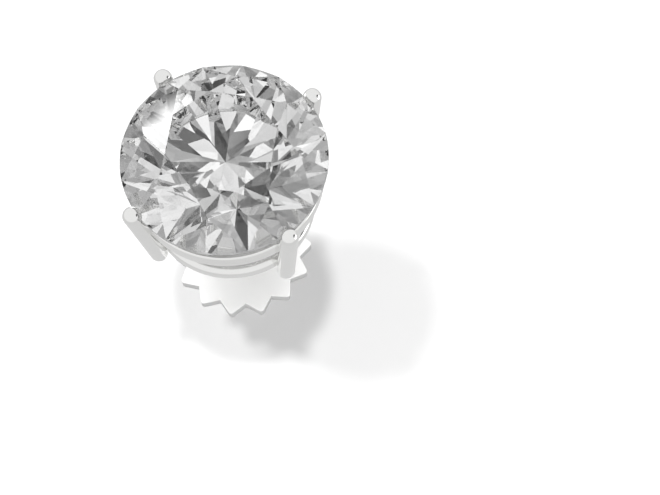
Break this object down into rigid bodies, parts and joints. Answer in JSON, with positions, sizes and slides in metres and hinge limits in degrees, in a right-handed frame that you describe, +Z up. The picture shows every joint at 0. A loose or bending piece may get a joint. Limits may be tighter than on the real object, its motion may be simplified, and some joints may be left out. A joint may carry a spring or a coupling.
{
  "type": "stud earring",
  "caption": "Solitaire stud earring: a round brilliant stone in a pronged basket, with a post and a toothed back that slides off it.",
  "frame": {"origin": "on the surface that the back stands on, under the post's axis", "axes": "+Z up along the post's axis, from the back to the stone's table; +X over a notch of the back, midway between two prongs"},
  "size_m": [0.0082, 0.0082, 0.0164],
  "materials": {
    "stone": "clear colourless brilliant, polished facets, bruted girdle",
    "setting_metal": "white gold, rhodium plated, high polish",
    "back_metal": "white gold, rhodium plated, polished with fine turning marks"
  },
  "bodies": {
    "back": {"toothed_back": "back_metal"},
    "head": {"brilliant_stone": "stone", "prong_setting": "setting_metal"}
  },
  "joints": [
    {"name": "post_slide", "type": "slide", "parent": "back", "child": "head", "axis": [0, 0, 1], "range_m": [0, 0.006]}
  ]
}
